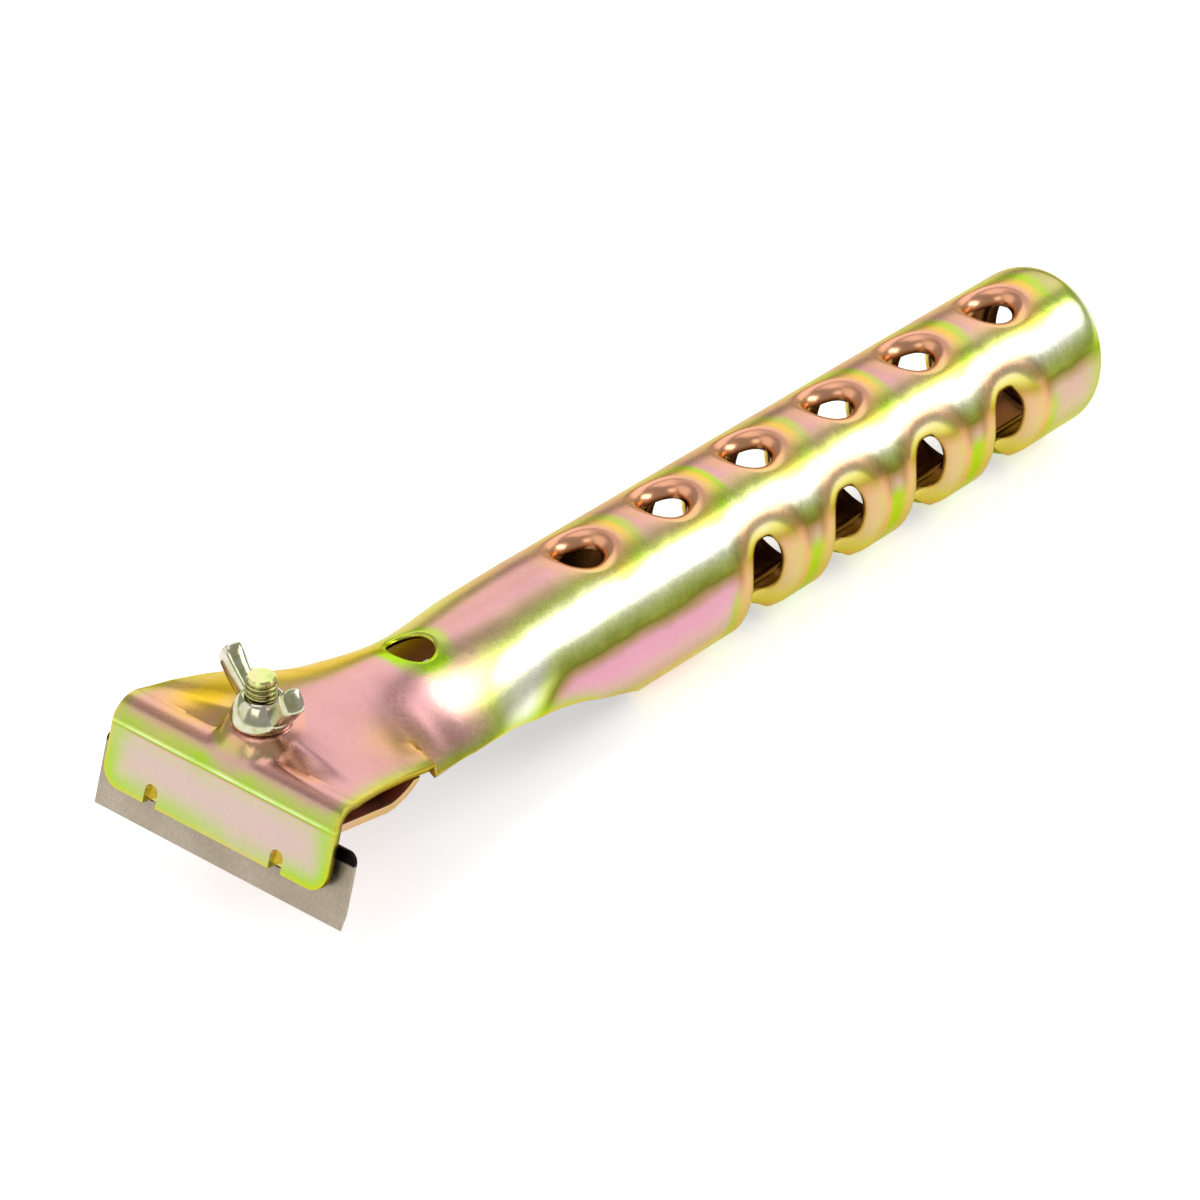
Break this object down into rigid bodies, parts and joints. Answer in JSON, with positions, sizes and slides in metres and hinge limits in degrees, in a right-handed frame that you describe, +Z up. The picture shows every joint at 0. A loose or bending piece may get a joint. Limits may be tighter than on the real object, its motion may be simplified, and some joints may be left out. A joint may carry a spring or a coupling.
{
  "type": "paint scraper",
  "caption": "Hand scraper pressed from plated sheet steel: a drilled tubular grip opens into a folded head that clamps a flat steel blade with a strap, bolt and wing nut.",
  "frame": {"origin": "middle of the tool's length, on its centre plane, level with the underside of the grip", "axes": "+X back along the grip towards its open end, +Y to the left as the user holds it, +Z up on the wing nut's side"},
  "size_m": [0.2338, 0.06, 0.047],
  "materials": {
    "yellow_zinc": "bright zinc plating with an iridescent yellow passivate",
    "yellow_zinc_inner": "zinc plating with a yellow passivate, less polished",
    "ground_steel": "coarsely ground steel, dark along the back edge",
    "pale_zinc": "bright zinc plating with a thin yellow passivate"
  },
  "bodies": {
    "handle": {"handle_shell": "yellow_zinc", "backing_angle": "yellow_zinc_inner"},
    "clamp": {"clamp_strap": "yellow_zinc_inner", "clamp_bolt": "pale_zinc"},
    "nut": {"wing_nut": "pale_zinc"},
    "blade": {"blade": "ground_steel"}
  },
  "joints": [
    {"name": "nut_turn", "type": "hinge", "parent": "handle", "child": "nut", "pos_m": [-0.10354, 0, 0.03631], "axis": [0, 0, 1], "range_deg": [0, 1440]},
    {"name": "clamp_drop", "type": "slide", "parent": "handle", "child": "clamp", "axis": [0, 0, -1], "range_m": [0, 0.004]},
    {"name": "blade_removal", "type": "slide", "parent": "handle", "child": "blade", "axis": [-0.2756, 0, -0.9613], "range_m": [0, 0.012]}
  ],
  "couplings": [
    {"joint": "clamp_drop", "follows": "nut_turn", "m_per_rad": 0.00015915}
  ]
}
